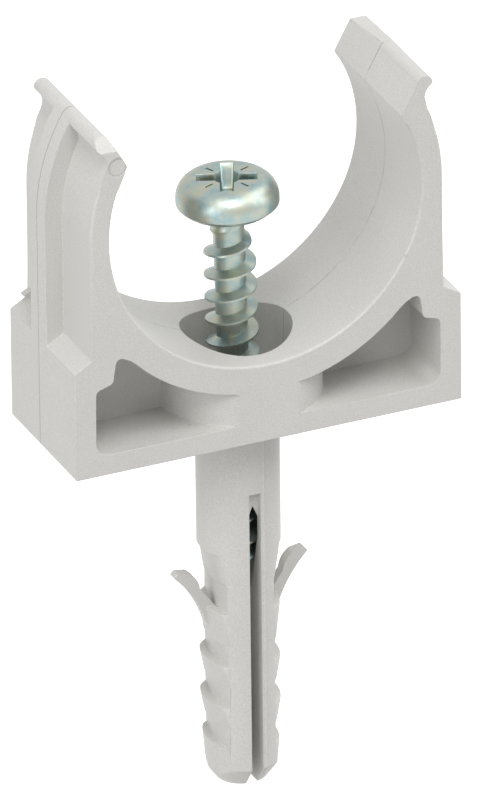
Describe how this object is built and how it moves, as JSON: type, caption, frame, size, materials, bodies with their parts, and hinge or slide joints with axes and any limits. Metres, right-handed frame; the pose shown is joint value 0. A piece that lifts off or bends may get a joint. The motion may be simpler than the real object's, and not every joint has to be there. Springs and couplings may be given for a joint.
{
  "type": "conduit clip",
  "caption": "Open snap-in conduit clip with sprung arms on a cored foot, an expanding winged wall plug beneath it, and a pan-head screw standing partly driven in its base.",
  "frame": {"origin": "centre of the foot's underside on the screw hole's axis, in the plane of the wall", "axes": "+Z out of the wall, +Y along the conduit, X along the foot; the wall plug reaches down -Z into the wall"},
  "size_m": [0.0396, 0.0152, 0.0736],
  "materials": {
    "clip_plastic": "fine matte moulding, light warm grey",
    "plug_plastic": "fine matte moulding, light warm grey",
    "screw_zinc": "bright zinc plating with a faint blue and yellow tint"
  },
  "bodies": {
    "root": {"clip_body": "clip_plastic", "wall_plug": "plug_plastic", "fixing_screw": "screw_zinc"}
  },
  "joints": []
}
